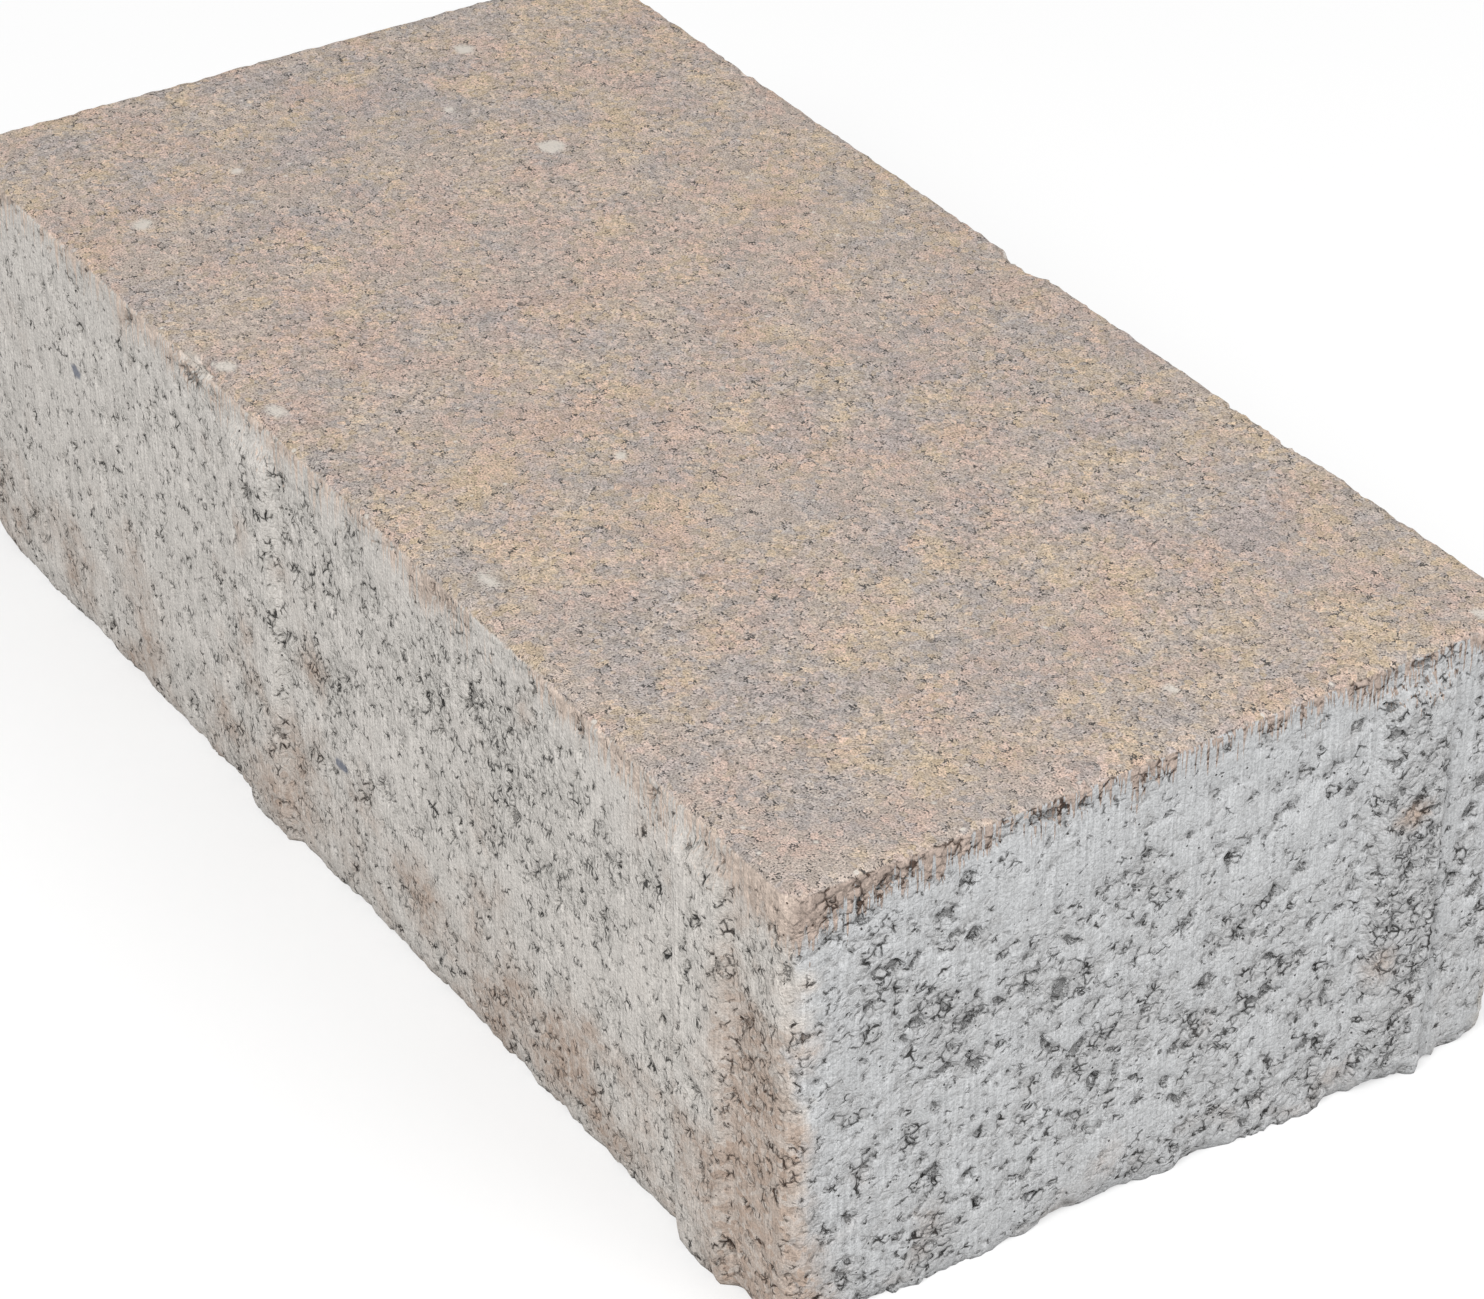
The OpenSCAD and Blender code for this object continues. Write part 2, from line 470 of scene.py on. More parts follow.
def plain_stone(sizes):
    """Smooth surface of the stone: a wall round the plan that is rounded over at its upper edge, and two
    patches that close it. Returns points, outward normals, the four corners of each face, and the number
    of steps along and across. The first ring of points is the bed's rim, and the last are its inside."""
    arc = sizes.corner_r * math.pi / 2
    steps_l = round((sizes.stone_l - 2 * sizes.corner_r + arc) / sizes.mesh_step)
    steps_w = round((sizes.stone_w - 2 * sizes.corner_r + arc) / sizes.mesh_step)
    core, normal, along, half_side = plan_ring(sizes, steps_l, steps_w)
    count = len(core)
    straight = np.linspace(0, 1, round((sizes.stone_h - sizes.edge_r) / sizes.mesh_step))
    rounding = np.linspace(0, 1, 1 + round(sizes.edge_r * math.pi / 2 / sizes.mesh_step))[1:] * math.pi / 2
    tilt = np.concatenate([np.zeros(len(straight)), rounding])
    z = np.concatenate([straight * (sizes.stone_h - sizes.edge_r),
                        sizes.stone_h - sizes.edge_r * (1 - np.sin(rounding))])
    inset = sizes.edge_r * (1 - np.cos(tilt))
    out = sizes.corner_r - inset[:, None] + rib_height(sizes, along, half_side, z)
    flat = core[None] + out[..., None] * normal[None]
    height = np.broadcast_to(z[:, None, None], (len(z), count, 1))
    wall = np.concatenate([flat, height], axis=2)
    level = np.broadcast_to(normal[None], (len(z), count, 2)) * np.cos(tilt)[:, None, None]
    upward = np.broadcast_to(np.sin(tilt)[:, None, None], (len(z), count, 1))
    wall_normal = np.concatenate([level, upward], axis=2)
    top = coons(wall[-1], steps_l, steps_w)[1:-1, 1:-1].reshape(-1, 3)
    bed = coons(wall[0], steps_l, steps_w)[1:-1, 1:-1].reshape(-1, 3)
    points = np.concatenate([wall.reshape(-1, 3), top, bed])
    up, down = np.tile((0.0, 0.0, 1.0), (len(top), 1)), np.tile((0.0, 0.0, -1.0), (len(bed), 1))
    normals = np.concatenate([wall_normal.reshape(-1, 3), up, down])
    rows = np.arange(len(z) * count).reshape(len(z), count)
    rows = np.concatenate([rows, rows[:, :1]], axis=1)
    top_index = patch_index((len(z) - 1) * count, len(z) * count, steps_l, steps_w)
    bed_index = patch_index(0, len(z) * count + len(top), steps_l, steps_w)
    faces = np.concatenate([grid_quads(rows.T), grid_quads(top_index), grid_quads(bed_index)[:, ::-1]])
    return points, normals, faces, (steps_l, steps_w)


# Relief of the concrete

# Sizes of its noises. Each use adds its own number to the seed, so that no noise repeats another.
CRUMB_SIZE = 1.6 * MM
PATCH_SIZE = 5 * MM
BREAK_SIZE = 6 * MM
CLOUD_SIZE = 9 * MM
SWELL_SIZE = 25 * MM
# Depths, and the distances over which the relief fades or changes
SWELL_DEPTH = 0.10 * MM
PIT_DEPTH = 0.4 * MM
DEEP_HOLLOW = 0.65 * MM
TOP_WEAR_REACH = 0.9 * MM
BED_WEAR_REACH = 1.9 * MM
SETTLED_REACH = 2 * MM
RAGGED_REACH = 3.5 * MM
CORNER_REACH = 8 * MM
# Radius of a grain in cells, and how many times smaller the grains between are
GRAIN_R = 0.8
FINER = 2.1


def grain_depth(far):
    """Depth of a ball under its top, at the distance far from its centre, in cells."""
    return GRAIN_R - np.sqrt(np.clip(GRAIN_R ** 2 - far ** 2, 0, None))


def pressed_grains(points, grain, fill, seed):
    """Depth of open concrete that was pressed against a mould, and how flat it was pressed, from 0 to 1.

    Each grain is a ball of radius r, so its surface lies r - sqrt(r^2 - d^2) under its top at the
    distance d from its centre. Balls of under half that size lie between. How far the heap is laid open
    wanders over some grains' width and from grain to grain: where it isn't, the mould has pressed it
    flat, and where a grain is missing the surface is sunk as a whole."""
    cells = points / grain
    cells = cells + 0.3 * np.stack([drift(cells * 0.9, seed + k) for k in range(3)], axis=1)
    far, draw = nearest_grain(cells, seed + 5)
    far_small, draw_small = nearest_grain(cells * FINER, seed + 7)
    big = grain_depth(far)
    small = grain_depth(far_small) / FINER
    level = fill + 0.14 * clouds(cells / 5, seed + 11, 3) + 0.10 * (draw - 0.5) + 0.05 * (draw_small - 0.5)
    missing = 0.6 * (draw < 0.04)
    missing_small = 0.4 * (draw_small < 0.03)
    level = level - missing - missing_small
    laid_open = rise(0.38 - level, 0, 0.25)
    sunk = laid_open * (0.6 * big + 0.35 * small) + 0.9 * np.clip(-level, 0, 0.5)
    return -sunk * grain, rise(level - 0.5 * big - 0.35 * small, -0.05, 0.2)


def marked(points, marks):
    """Sum of the marks at each point: each is its strength times e^(-((x - x0) / reach)^2), and the same
    in y and z."""
    total = np.zeros(len(points))
    for place, reach, strength in marks:
        steps = (points / MM - np.array(place)) / np.array(reach)
        total += strength * np.exp(-np.sum(steps ** 2, axis=1))
    return total


def edge_wear(points, normals, end_share, sizes, relief):
    """Inward depth at the upper and lower edges: each fades as e^(-distance to the edge / its reach).

    The upper edge crumbles a little and has some placed chips. The lower edge is worn round, fairly
    evenly along the long sides and in scallops along the ends."""
    x, y, z = points.T
    to_outline = np.minimum(sizes.stone_l / 2 - np.abs(x), sizes.stone_w / 2 - np.abs(y))
    to_top = np.where(normals[:, 2] > 0.99, to_outline, sizes.stone_h - z)
    crumbs = np.clip(0.5 + clouds(points / CRUMB_SIZE, relief.seed + 100, 2), 0, None)
    breaks = np.clip(clouds(points / BREAK_SIZE, relief.seed + 95, 3), 0, None)
    scallops = clouds(points * np.array((1, 1, 0.2)) / CLOUD_SIZE, relief.seed + 97, 3)
    top_fade = np.exp(-np.clip(to_top, 0, None) / TOP_WEAR_REACH)
    top_edge = relief.top_crumb * (crumbs + 2 * breaks ** 1.5) * top_fade
    uneven = 0.6 + (0.35 + 1.25 * end_share) * scallops + (0.1 + 0.1 * end_share) * crumbs
    bed_edge = relief.bed_wear * np.clip(uneven, 0.1, 2.2) * np.exp(-z / BED_WEAR_REACH)
    chips = relief.chip * rise(marked(points, EDGE_CHIPS) * (0.7 + 0.6 * crumbs), 0.3, 0.75)
    return -(top_edge + bed_edge + chips)


def wall_grains(points, pressed, end_share, relief):
    """Depth of the walls' grains, and how flat they are pressed: coarse on the ends, and finer and drawn
    out upright on the long sides."""
    opened = pressed / 2
    coarse, coarse_flat = pressed_grains(points, relief.end_grain, relief.end_fill + opened, relief.seed)
    drawn = points * np.array((1, 1, 1 / relief.side_draw))
    fine, fine_flat = pressed_grains(drawn, relief.side_grain, relief.side_fill + opened, relief.seed + 40)
    return (coarse * end_share + fine * (1 - end_share),
            coarse_flat * end_share + fine_flat * (1 - end_share))


def cloud_share(points, seed, marks):
    """Share of a colour in the walking face: clouds about a half, and the placed ones."""
    return 0.5 + 0.20 * clouds(points / CLOUD_SIZE, seed, 4, 0.75) + marked(points, marks)


def surface_relief(points, normals, sizes, relief):
    """Inward depth at each point, and the shares that the finish reads.

    The walls carry pressed grains, and change from side to end along a ragged line near each corner.
    The walking face carries a shallow sandy relief, and the edges are worn. The bed is plain."""
    seed = relief.seed
    upward = np.clip(normals[:, 2], 0, 1)
    bed = normals[:, 2] < -0.9
    wall = np.where(bed, 0, 1 - upward)
    from_side = sizes.stone_w / 2 - np.abs(points[:, 1])
    from_end = sizes.stone_l / 2 - np.abs(points[:, 0])
    ragged = RAGGED_REACH * clouds(points / PATCH_SIZE, seed + 70, 4, 0.6)
    end_share = rise(from_side - from_end + ragged, -1 * MM, 3 * MM)
    upright = wall > 0
    pressed = marked(points, PRESSED_MARKS)
    grains, flat = np.zeros(len(points)), np.full(len(points), 0.5)
    opened = wall_grains(points[upright], pressed[upright], end_share[upright], relief)
    grains[upright], flat[upright] = opened
    sandy = -relief.sand_depth * (0.5 + 0.5 * clouds(points / CRUMB_SIZE, seed + 80, 2))
    swell = -SWELL_DEPTH * (1 + clouds(points / SWELL_SIZE, seed + 90, 2))
    spot = marked(points, PALE_SPOTS) - marked(points, DARK_PITS)
    under = sizes.stone_h - points[:, 2]
    settled = 1 - 0.6 * np.exp(-np.clip(under - sizes.edge_r, 0, None) / SETTLED_REACH)
    depth = wall * grains * settled + upward * (sandy + PIT_DEPTH * np.minimum(spot, 0)) + swell
    depth = np.where(bed, 0, np.minimum(depth + edge_wear(points, normals, end_share, sizes, relief), 0))
    to_corner = np.hypot(from_end, from_side)
    cast = 0.25 * clouds(points / CLOUD_SIZE, seed + 120, 4)
    strip_wander = 3.0 * drift(points / CLOUD_SIZE, seed + 130)
    shares = {
        "walking_face": upward,
        "end_share": end_share,
        "smooth": np.clip(flat + 0.6 * clouds(points / PATCH_SIZE, seed + 110, 3) + pressed, 0, 1),
        "hollow": np.clip(-wall * grains / DEEP_HOLLOW, 0, 1),
        "bloom": rise(0.45 + cast + marked(points, BROWN_STAINS) - 0.10 * end_share, 0.5, 0.9),
        "strip_reach": 1.6 + strip_wander + 6 * np.exp(-to_corner / CORNER_REACH),
        "ochre": cloud_share(points, seed + 140, OCHRE_CLOUDS),
        "slate": cloud_share(points, seed + 150, SLATE_CLOUDS),
        "rose": cloud_share(points, seed + 160, ROSE_CLOUDS),
        "spot": spot,
        "blue_grain": marked(points, BLUE_GRAINS),
        "chipped": marked(points, EDGE_CHIPS),
    }
    return depth, shares


def split_faces(points, faces):
    """Two triangles for each face of four corners, cut along the shorter of its two diagonals."""
    a, b, c, d = (points[faces[:, k]] for k in range(4))
    first = np.sum((a - c) ** 2, axis=1) < np.sum((b - d) ** 2, axis=1)
    one = np.where(first[:, None], faces[:, [0, 1, 2]], faces[:, [0, 1, 3]])
    two = np.where(first[:, None], faces[:, [0, 2, 3]], faces[:, [1, 2, 3]])
    return np.concatenate([one, two])


def stone_mesh(sizes, relief):
    """Mesh of the stone: the plain surface moved inward along its normals by the relief, and a flat bed
    inside the worn rim. The shares that the finish reads are its point attributes."""
    points, normals, faces, steps = plain_stone(sizes)
    depth, shares = surface_relief(points, normals, sizes, relief)
    points = points + normals * depth[:, None]
    rim = points[:2 * sum(steps)]
    bed = coons(rim, *steps)[1:-1, 1:-1].reshape(-1, 3)
    points[-len(bed):] = bed
    faces = split_faces(points, faces)
    mesh = bpy.data.meshes.new("cast_stone")
    mesh.vertices.add(len(points))
    mesh.vertices.foreach_set("co", points.astype(np.float32).ravel())
    mesh.loops.add(faces.size)
    mesh.loops.foreach_set("vertex_index", faces.astype(np.int32).ravel())
    mesh.polygons.add(len(faces))
    mesh.polygons.foreach_set("loop_start", np.arange(0, faces.size, 3, dtype=np.int32))
    mesh.update(calc_edges=True)
    for name, share in shares.items():
        attribute = mesh.attributes.new(name, "FLOAT", "POINT")
        attribute.data.foreach_set("value", share.astype(np.float32))
    mesh.shade_smooth()
    return mesh


def thinned(piece, triangles, low, high):
    """Replace the piece's mesh by one of that many triangles, fewest where the surface is smooth, and keep
    its points inside the box from low to high."""
    thin = piece.modifiers.new("thin", "DECIMATE")
    thin.ratio = triangles / len(piece.data.polygons)
    depsgraph = bpy.context.evaluated_depsgraph_get()
    mesh = bpy.data.meshes.new_from_object(piece.evaluated_get(depsgraph), depsgraph=depsgraph)
    piece.modifiers.clear()
    points = np.empty(len(mesh.vertices) * 3, np.float32)
    mesh.vertices.foreach_get("co", points)
    points = np.clip(points.reshape(-1, 3), np.array(low), np.array(high))
    mesh.vertices.foreach_set("co", points.astype(np.float32).ravel())
    mesh.update()
    piece.data = mesh


# Finish of the concrete

# Sizes in millimetres
FINE_SAND = 0.25
SAND_GRAIN = 0.85
WORN_PATCH = 1.6
DRAG_LINE = 0.45
CRACK_CELL = (0.75, 1.4, 1.3)
CRACK_BEND = 0.7
CALM_REACH = 9.0
# How many times longer than wide a drag line is, and how far the lines carry the strip's lower edge
DRAG_LENGTH = 20
STRIP_TEETH = 17.0
# Value of the worn noise above which a crack begins to open
CRACK_SHUT = 0.562


def linear(display):
    """Linear colour with full alpha from a display colour: ((c + 0.055) / 1.055)^2.4, or c / 12.92 where
    it is dark."""
    return [c / 12.92 if c <= 0.04045 else ((c + 0.055) / 1.055) ** 2.4 for c in display] + [1.0]


class Finish:
    """Adds nodes to a tree. A value given for an input is a number, a colour or another node's output."""

    def __init__(self, tree):
        self.tree = tree

    def put(self, socket, value):
        """Link an input to another node's output, or set its own number or colour."""
        if isinstance(value, bpy.types.NodeSocket):
            self.tree.links.new(value, socket)
        else:
            socket.default_value = value

    def add(self, kind, inputs=None, **settings):
        """One node with these settings and inputs; returns its outputs."""
        node = self.tree.nodes.new(kind)
        for name, value in settings.items():
            setattr(node, name, value)
        for name, value in (inputs or {}).items():
            self.put(node.inputs[name], value)
        return node.outputs

    def share(self, name):
        """A point attribute of the mesh."""
        return self.add("ShaderNodeAttribute", attribute_name=name)["Fac"]

    def math(self, operation, *values, clamp=False):
        """Arithmetic on numbers."""
        return self.add("ShaderNodeMath", dict(enumerate(values)), operation=operation, use_clamp=clamp)[0]

    def line(self, value, slope, start, clamp=False):
        """A number that follows a straight line: start + slope * value."""
        return self.math("MULTIPLY_ADD", value, slope, start, clamp=clamp)

    def times(self, first, second):
        """Product of two numbers."""
        return self.math("MULTIPLY", first, second)

    def less(self, first, second):
        """First number less the second."""
        return self.math("SUBTRACT", first, second)

    def larger(self, first, second):
        """The larger of two numbers."""
        return self.math("MAXIMUM", first, second)

    def over(self, value, limit):
        """1 where a number is over the limit, and 0 elsewhere."""
        return self.math("GREATER_THAN", value, limit)

    def span(self, value, low, high, to_low=0.0, to_high=1.0):
        """Smooth step of a value between low and high."""
        ends = {"From Min": low, "From Max": high, "To Min": to_low, "To Max": to_high}
        return self.add("ShaderNodeMapRange", {"Value": value, **ends}, interpolation_type="SMOOTHSTEP")[0]

    def noise(self, place, size, detail, roughness=0.5):
        """Soft noise with features of about that size in millimetres: a number and a colour."""
        inputs = {"Vector": place, "Scale": 1 / size, "Detail": detail, "Roughness": roughness}
        return self.add("ShaderNodeTexNoise", inputs)

    def grains(self, place, size):
        """Grains of about that size in millimetres: the distance to a grain's centre, and three random
        numbers that belong to the grain."""
        cells = self.add("ShaderNodeTexVoronoi", {"Vector": place, "Scale": 1 / size})
        draws = self.add("ShaderNodeSeparateColor", {"Color": cells["Color"]})
        return cells["Distance"], draws[0], draws[1], draws[2]

    def mix(self, share, first, second):
        """Blend of two colours. The node's inputs 6 and 7 are the colours."""
        return self.add("ShaderNodeMix", {0: share, 6: first, 7: second}, data_type="RGBA")[2]

    def shade(self, paint, value):
        """A colour or a place times a number."""
        return self.add("ShaderNodeVectorMath", {0: paint, "Scale": value}, operation="SCALE")[0]

    def moved(self, place, scale=(1, 1, 1), shift=(0, 0, 0)):
        """A place stretched along the axes and shifted, so that two noises don't repeat each other."""
        return self.add("ShaderNodeMapping", {"Vector": place, "Scale": scale, "Location": shift})[0]

    def seen(self):
        """1 for a ray that the camera sees, straight or by way of a mirror or a window, and 0 for other
        light."""
        rays = self.add("ShaderNodeLightPath")
        indirect = self.larger(rays["Is Glossy Ray"], rays["Is Transmission Ray"])
        return self.larger(rays["Is Camera Ray"], indirect)


def walking_face_finish(f, fine, worn, sand, colours):
    """Sandy facing mix: tan with clouds of ochre, rose and slate that break up grain by grain, pale
    pebbles, and painted shade in the creases between some grains. Returns the colour and a height
    in millimetres."""
    gap, tone, pick, spare = sand
    paint = linear(colours.tan)
    for name, draw, most in (("ochre", pick, 0.80), ("rose", tone, 0.60), ("slate", spare, 0.62)):
        cloud = f.line(draw, 0.25, f.share(name))
        paint = f.mix(f.span(cloud, 0.53, 0.84, 0, most), paint, linear(getattr(colours, name)))
    paint = f.shade(paint, f.line(tone, 0.34, 0.83))
    paint = f.shade(paint, f.line(fine, 2.2, -0.1))
    # Pebbles are a few grains at random and the placed spots, with a sandy outline
    spot = f.line(fine, 0.3, f.less(f.share("spot"), 0.15))
    pebble = f.times(f.over(spare, 0.985), f.span(gap, 0.5, 0.3))
    pebble = f.larger(pebble, f.span(spot, 0.25, 0.60))
    paint = f.mix(f.times(pebble, 0.9), paint, linear(colours.pale))
    # Creases, painted dark as shade: they lie far from the grains' centres, most of them where the worn
    # noise is high, and in the placed pits
    crease_shade = f.span(f.line(worn, 0.9, f.line(fine, -1.9, gap)), 0.30, 0.53)
    crease_shade = f.times(crease_shade, f.line(pebble, -0.8, 0.88))
    crease_shade = f.larger(crease_shade, f.span(spot, -0.45, -0.75, 0.0, 0.6))
    paint = f.mix(crease_shade, paint, linear(colours.hollow))
    return paint, f.line(gap, -0.10, f.times(fine, 0.30))


def cement_paint(f, fine, lines, tone, strip, colours):
    """Grey cement, paler where it was dragged smooth along the mould, with upright drag lines, brown
    bloom, and facing mix in the strip at the top. Returns the colour and the strength of the lines."""
    smooth, bloom, end_share = (f.share(name) for name in ("smooth", "bloom", "end_share"))
    # Painted light: the long sides' colours are lighter than the ends' to make up for the fill lamp, which
    # lights only the ends
    grit = f.mix(end_share, linear(colours.lit_warm_grit), linear(colours.grit))
    paste = f.mix(end_share, linear(colours.lit_warm_paste), linear(colours.paste))
    fringe = f.mix(end_share, linear(colours.fringe), linear(colours.crumb))
    paint = f.mix(smooth, grit, paste)
    paint = f.mix(f.times(bloom, f.line(tone, 0.6, 0.45)), paint, linear(colours.stain))
    paint = f.mix(strip, paint, f.shade(fringe, f.line(tone, 0.36, 0.80)))
    drag = f.times(f.less(lines, 0.5), f.line(smooth, 0.55, 0.1))
    return f.shade(paint, f.math("ADD", f.line(fine, 0.9, 0.55), drag)), drag


def grain_border(f, place):
    """Distance to the border of the cell that a place lies in. The borders bend with a soft noise."""
    cells = f.moved(place, scale=[1 / size for size in CRACK_CELL])
    bend = f.noise(place, CRACK_BEND, 0.0)["Color"]
    inputs = {0: bend, 1: (0.35, 0.35, 0.35), 2: cells}
    bent = f.add("ShaderNodeVectorMath", inputs, operation="MULTIPLY_ADD")[0]
    return f.add("ShaderNodeTexVoronoi", {"Vector": bent, "Scale": 1.0}, feature="DISTANCE_TO_EDGE")[0]


def side_finish(f, place, under, fine, worn, lines, sand, strip, colours):
    """Grey sides: cement, open where it wasn't dragged smooth, with thin cracks between the grains,
    pinholes and deep hollows, whose dark is painted shade. Returns the colour and a height in millimetres.

    A crack follows the borders of cells, and is as wide as the worn noise allows, so most borders stay
    shut. Fewer open just under the upper edge of the long sides, and more in the strip of the ends."""
    hollow, smooth, bloom, end_share = (f.share(name) for name in ("hollow", "smooth", "bloom", "end_share"))
    gap, tone, pick, _ = sand
    paint, drag = cement_paint(f, fine, lines, tone, strip, colours)
    end_strip = f.times(strip, end_share)
    openness = f.line(hollow, 0.4, f.less(0.8, smooth))
    openness = f.line(end_strip, 0.8, openness, clamp=True)
    border = grain_border(f, place)
    # Cracks, painted dark as shade, and the slope down to them
    calm = f.times(f.span(under, CALM_REACH, 1.0), f.less(1.0, end_share))
    gate = f.line(end_share, -0.015, f.less(worn, CRACK_SHUT))
    gate = f.line(end_strip, 0.04, f.line(calm, -0.07, gate))
    gate = f.line(openness, 0.10, gate, clamp=True)
    width = f.line(f.times(gate, gate), 2.6, 0.001)
    across = f.math("DIVIDE", border, width)
    crack = f.times(f.span(width, 0.003, 0.02), f.span(across, 1.0, 0.5))
    slope = f.times(f.span(gate, 0.0, 0.12), f.span(border, 0.15, 0.0))
    # Pinholes at the centres of some grains, and the hollows of the relief, both painted dark as shade
    pin = f.times(f.over(f.line(openness, 0.3, pick), 0.92), f.span(gap, 0.21, 0.10))
    deep = f.span(f.line(border, -0.7, f.line(fine, -0.8, hollow)), 0.30, 0.54)
    shade_mask = f.larger(f.times(deep, 0.5), f.larger(pin, crack))
    # Painted shade: cracks, pinholes and hollows take the hollow colour, browner in stained places and in
    # the strip
    shadow = f.mix(f.larger(bloom, strip), linear(colours.hollow), linear(colours.stained_hollow_shade))
    paint = f.mix(f.times(shade_mask, 0.95), paint, shadow)
    paint = f.mix(f.span(f.share("blue_grain"), 0.3, 0.6, 0.0, 0.8), paint, linear(colours.blue))
    # Height: round grains, fine sand, the slopes, the holes and the drag lines
    grain = f.times(f.math("MINIMUM", border, 0.25), f.line(openness, 0.6, 0.25))
    height = f.line(slope, -0.30, f.line(fine, 0.13, grain))
    height = f.line(f.larger(pin, deep), -0.15, height)
    return paint, f.line(drag, 0.3, height)


def facing_strip(f, under, lines):
    """Share of facing mix in a ragged strip under the upper edge, where tongues of cement were dragged up
    over it: sharp on the ends and soft on the long sides."""
    reach = f.line(f.less(lines, 0.5), STRIP_TEETH, f.share("strip_reach"))
    inside = f.less(reach, under)
    sharp, soft = f.span(inside, -0.6, 0.6), f.span(inside, -2.4, 1.2)
    end_share = f.share("end_share")
    return f.math("ADD", f.times(sharp, end_share), f.times(soft, f.less(1.0, end_share)))


def concrete_finish(colours, stone_h):
    """The one finish of the stone: facing mix on the walking face and in a strip under its edge, and grey
    cement below. Three noises serve both: fine sand, patches about a grain wide, and upright lines."""
    material = bpy.data.materials.new("pressed_concrete")
    material.use_nodes = True
    f = Finish(material.node_tree)
    shader = material.node_tree.nodes["Principled BSDF"].inputs
    place = f.shade(f.add("ShaderNodeTexCoord")["Object"], 1 / MM)
    fine = f.noise(place, FINE_SAND, 1.0, 0.7)["Fac"]
    # The worn noise only places the patches where the painted shade of creases and cracks opens
    worn = f.noise(f.moved(place, shift=(21, 8, 3)), WORN_PATCH, 2.0)["Fac"]
    lines = f.noise(f.moved(place, scale=(1, 1, 1 / DRAG_LENGTH)), DRAG_LINE, 1.0, 0.75)["Fac"]
    sand = f.grains(place, SAND_GRAIN)
    under = f.less(stone_h / MM, f.add("ShaderNodeSeparateXYZ", {0: place})[2])
    strip = facing_strip(f, under, lines)
    top = f.span(f.share("walking_face"), 0.3, 0.7)
    sand_paint, sand_height = walking_face_finish(f, fine, worn, sand, colours)
    side_paint, side_height = side_finish(f, place, under, fine, worn, lines, sand, strip, colours)
    paint = f.mix(top, side_paint, sand_paint)
    paint = f.mix(f.span(f.share("chipped"), 0.45, 0.75, 0.0, 0.75), paint, linear(colours.pale))
    height = f.math("ADD", f.times(top, sand_height), f.times(f.less(1.0, top), side_height))
    f.put(shader["Base Color"], paint)
    f.put(shader["Roughness"], f.span(f.share("smooth"), 0.0, 1.0, 0.96, 0.84))
    f.put(shader["Normal"], f.add("ShaderNodeBump", {"Height": height, "Distance": MM, "Strength": 1.0})[0])
    f.put(shader["Specular IOR Level"], 0.25)
    return material


# Stage

def floor_finish(display):
    """White floor that keeps the stone's shadow: to the camera it glows by the share of light that its
    own colour doesn't give back."""
    material = bpy.data.materials.new("studio_floor")
    material.use_nodes = True
    f = Finish(material.node_tree)
    shader = material.node_tree.nodes["Principled BSDF"].inputs
    f.put(shader["Base Color"], linear(display))
    f.put(shader["Roughness"], 1.0)
    f.put(shader["Specular IOR Level"], 0.0)
    f.put(shader["Emission Color"], (1, 1, 1, 1))
    f.put(shader["Emission Strength"], f.times(f.seen(), 1 - linear(display)[0]))
    return material


def studio_world(sky):
    """Even light all round, with a background that the camera sees as white."""
    world = bpy.data.worlds.new("studio")
    world.use_nodes = True
    f = Finish(world.node_tree)
    background = world.node_tree.nodes["Background"].inputs
    f.put(background["Color"], (1, 1, 1, 1))
    f.put(background["Strength"], f.line(f.seen(), 1 - sky, sky))
    return world


def add_lamp(name, place, size, power_w):
    """Square lamp that shines at the middle of the stone."""
    lamp = bpy.data.lights.new(name, "AREA")
    lamp.size = size
    lamp.energy = power_w
    holder = bpy.data.objects.new(name, lamp)
    holder.location = place
    middle = (NODE_LOW + NODE_HIGH) / 2
    holder.rotation_euler = (middle - Vector(place)).to_track_quat("-Z", "Y").to_euler()
    bpy.context.scene.collection.objects.link(holder)


def add_floor(half, display):
    """Square floor that reaches so far each way from the middle, as part of the stage."""
    mesh = bpy.data.meshes.new("floor")
    corners = [(-half, -half, 0), (half, -half, 0), (half, half, 0), (-half, half, 0)]
    mesh.from_pydata(corners, [], [(0, 1, 2, 3)])
    mesh.materials.append(floor_finish(display))
    floor = bpy.data.objects.new("floor", mesh)
    bpy.context.scene.collection.objects.link(floor)


def add_camera(stage):
    """Camera at the photograph's place and angle."""
    lens = bpy.data.cameras.new("camera")
    lens.sensor_width = stage.sensor
    lens.lens = stage.lens
    lens.clip_start = stage.nearest
    camera = bpy.data.objects.new("camera", lens)
    camera.location = stage.camera
    camera.rotation_euler = (math.pi / 2 - stage.elevation, 0, stage.azimuth)
    bpy.context.scene.collection.objects.link(camera)
    bpy.context.scene.camera = camera


# Steps, panel and start

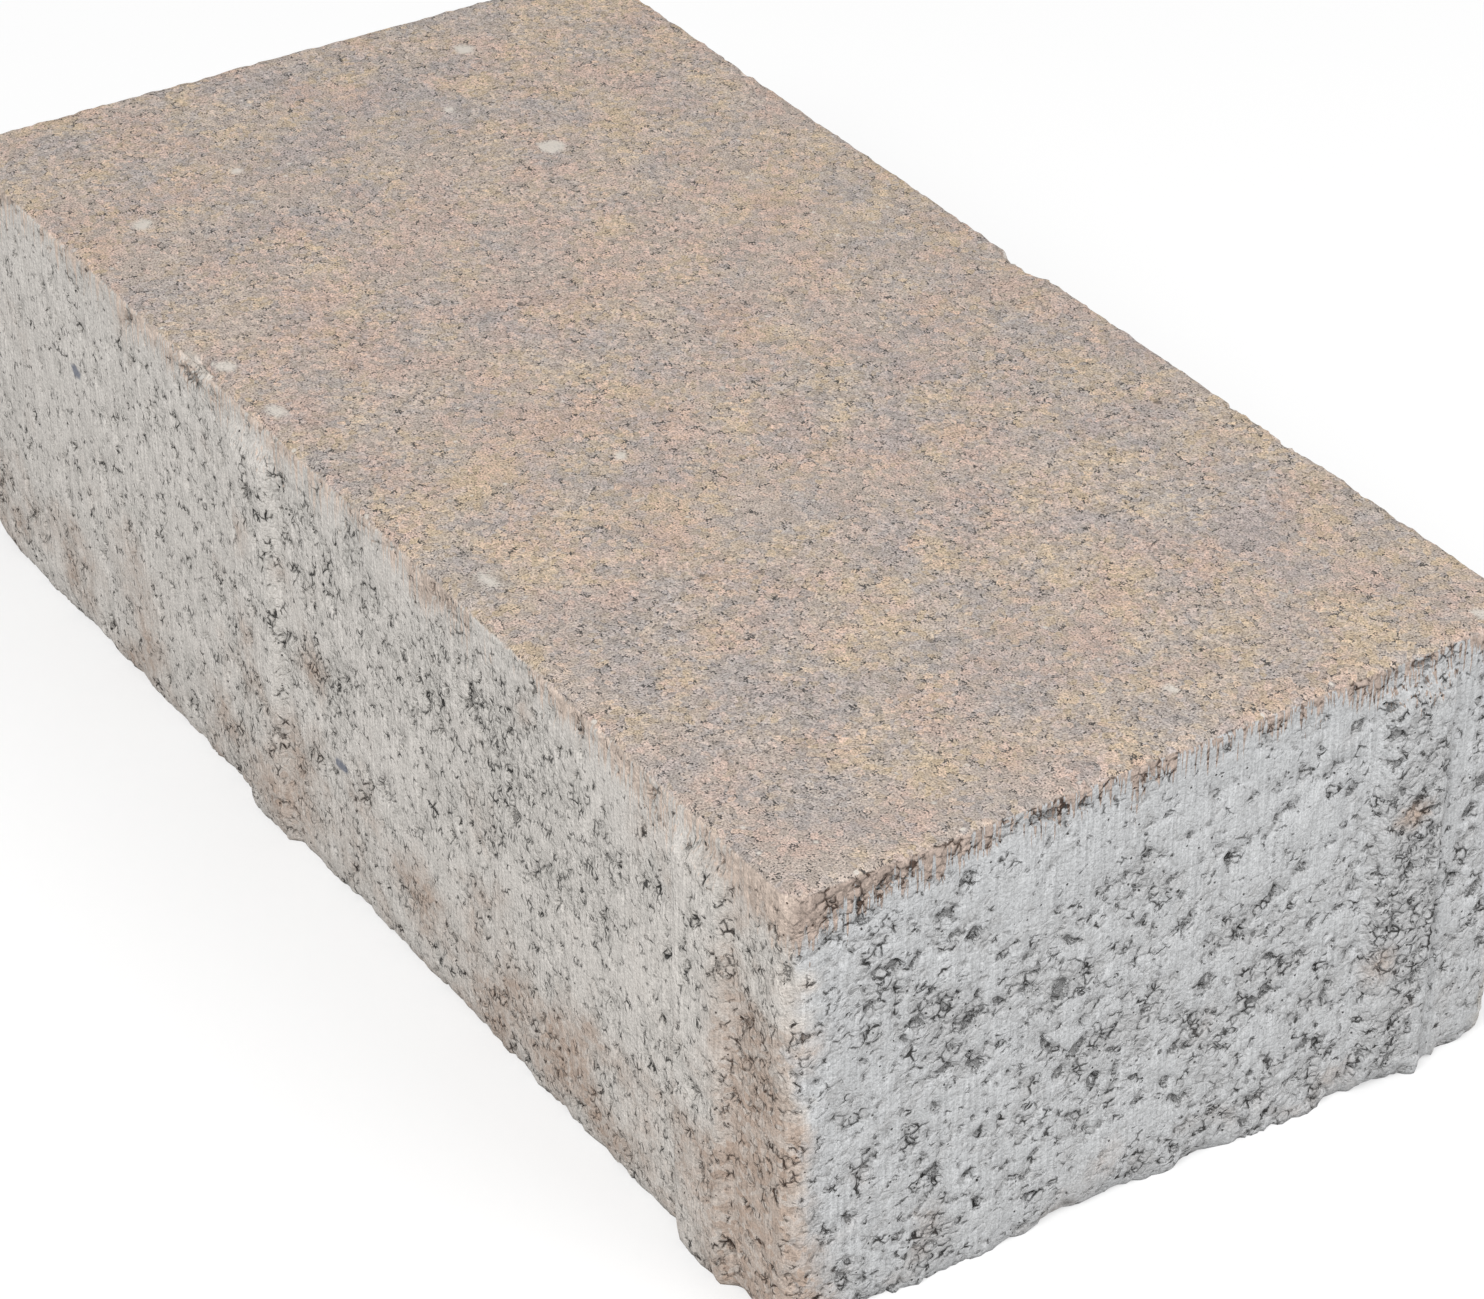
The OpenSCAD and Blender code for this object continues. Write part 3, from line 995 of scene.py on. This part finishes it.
class PAVING_OT_cast_stone(bpy.types.Operator):
    """Make the pressed surface of the stone with its concrete finish"""
    bl_idname = "paving.cast_stone"
    bl_label = "Cast the stone"

    def execute(self, context):
        settings = context.scene.paving_stone
        sizes = settings.sizes
        stone = bpy.data.objects.new("cast_stone", stone_mesh(sizes, settings.relief))
        context.scene.collection.objects.link(stone)
        thinned(stone, sizes.triangles, NODE_LOW, NODE_HIGH)
        stone.data.materials.append(concrete_finish(settings.colours, sizes.stone_h))
        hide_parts(NODE)
        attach(stone, "root")
        return {"FINISHED"}


class PAVING_OT_set_stage(bpy.types.Operator):
    """Set the floor, the light and the camera"""
    bl_idname = "paving.set_stage"
    bl_label = "Set the stage"

    def execute(self, context):
        stage = context.scene.paving_stone.stage
        add_floor(stage.floor_half, stage.floor)
        context.scene.world = studio_world(stage.sky)
        add_lamp("key", stage.key_place, stage.key_size, stage.key_power)
        add_lamp("fill", stage.fill_place, stage.fill_size, stage.fill_power)
        add_camera(stage)
        context.scene.view_settings.view_transform = "Standard"
        return {"FINISHED"}


class PAVING_PT_panel(bpy.types.Panel):
    """Lists the stone's settings and its two steps"""
    bl_label = "Paving stone"
    bl_idname = "PAVING_PT_panel"
    bl_space_type = "VIEW_3D"
    bl_region_type = "UI"
    bl_category = "Paving stone"

    def draw(self, context):
        settings = context.scene.paving_stone
        steps = {"paving.cast_stone": ("sizes", "relief", "colours"), "paving.set_stage": ("stage",)}
        for operator, groups in steps.items():
            self.layout.operator(operator)
            for name in groups:
                box = self.layout.box()
                values = getattr(settings, name)
                for field in values.__annotations__:
                    box.prop(values, field)


CLASSES = (StoneSizes, StoneRelief, StoneColours, StageSettings, PavingStone,
           PAVING_OT_cast_stone, PAVING_OT_set_stage, PAVING_PT_panel)


def register():
    """Add the classes and the scene's settings."""
    for kind in CLASSES:
        bpy.utils.register_class(kind)
    bpy.types.Scene.paving_stone = PointerProperty(type=PavingStone)


def unregister():
    """Take the classes and the settings away again."""
    del bpy.types.Scene.paving_stone
    for kind in reversed(CLASSES):
        bpy.utils.unregister_class(kind)


def main():
    """Make the stone and its stage."""
    register()
    bpy.ops.paving.cast_stone()
    bpy.ops.paving.set_stage()


if __name__ == "__main__":
    main()
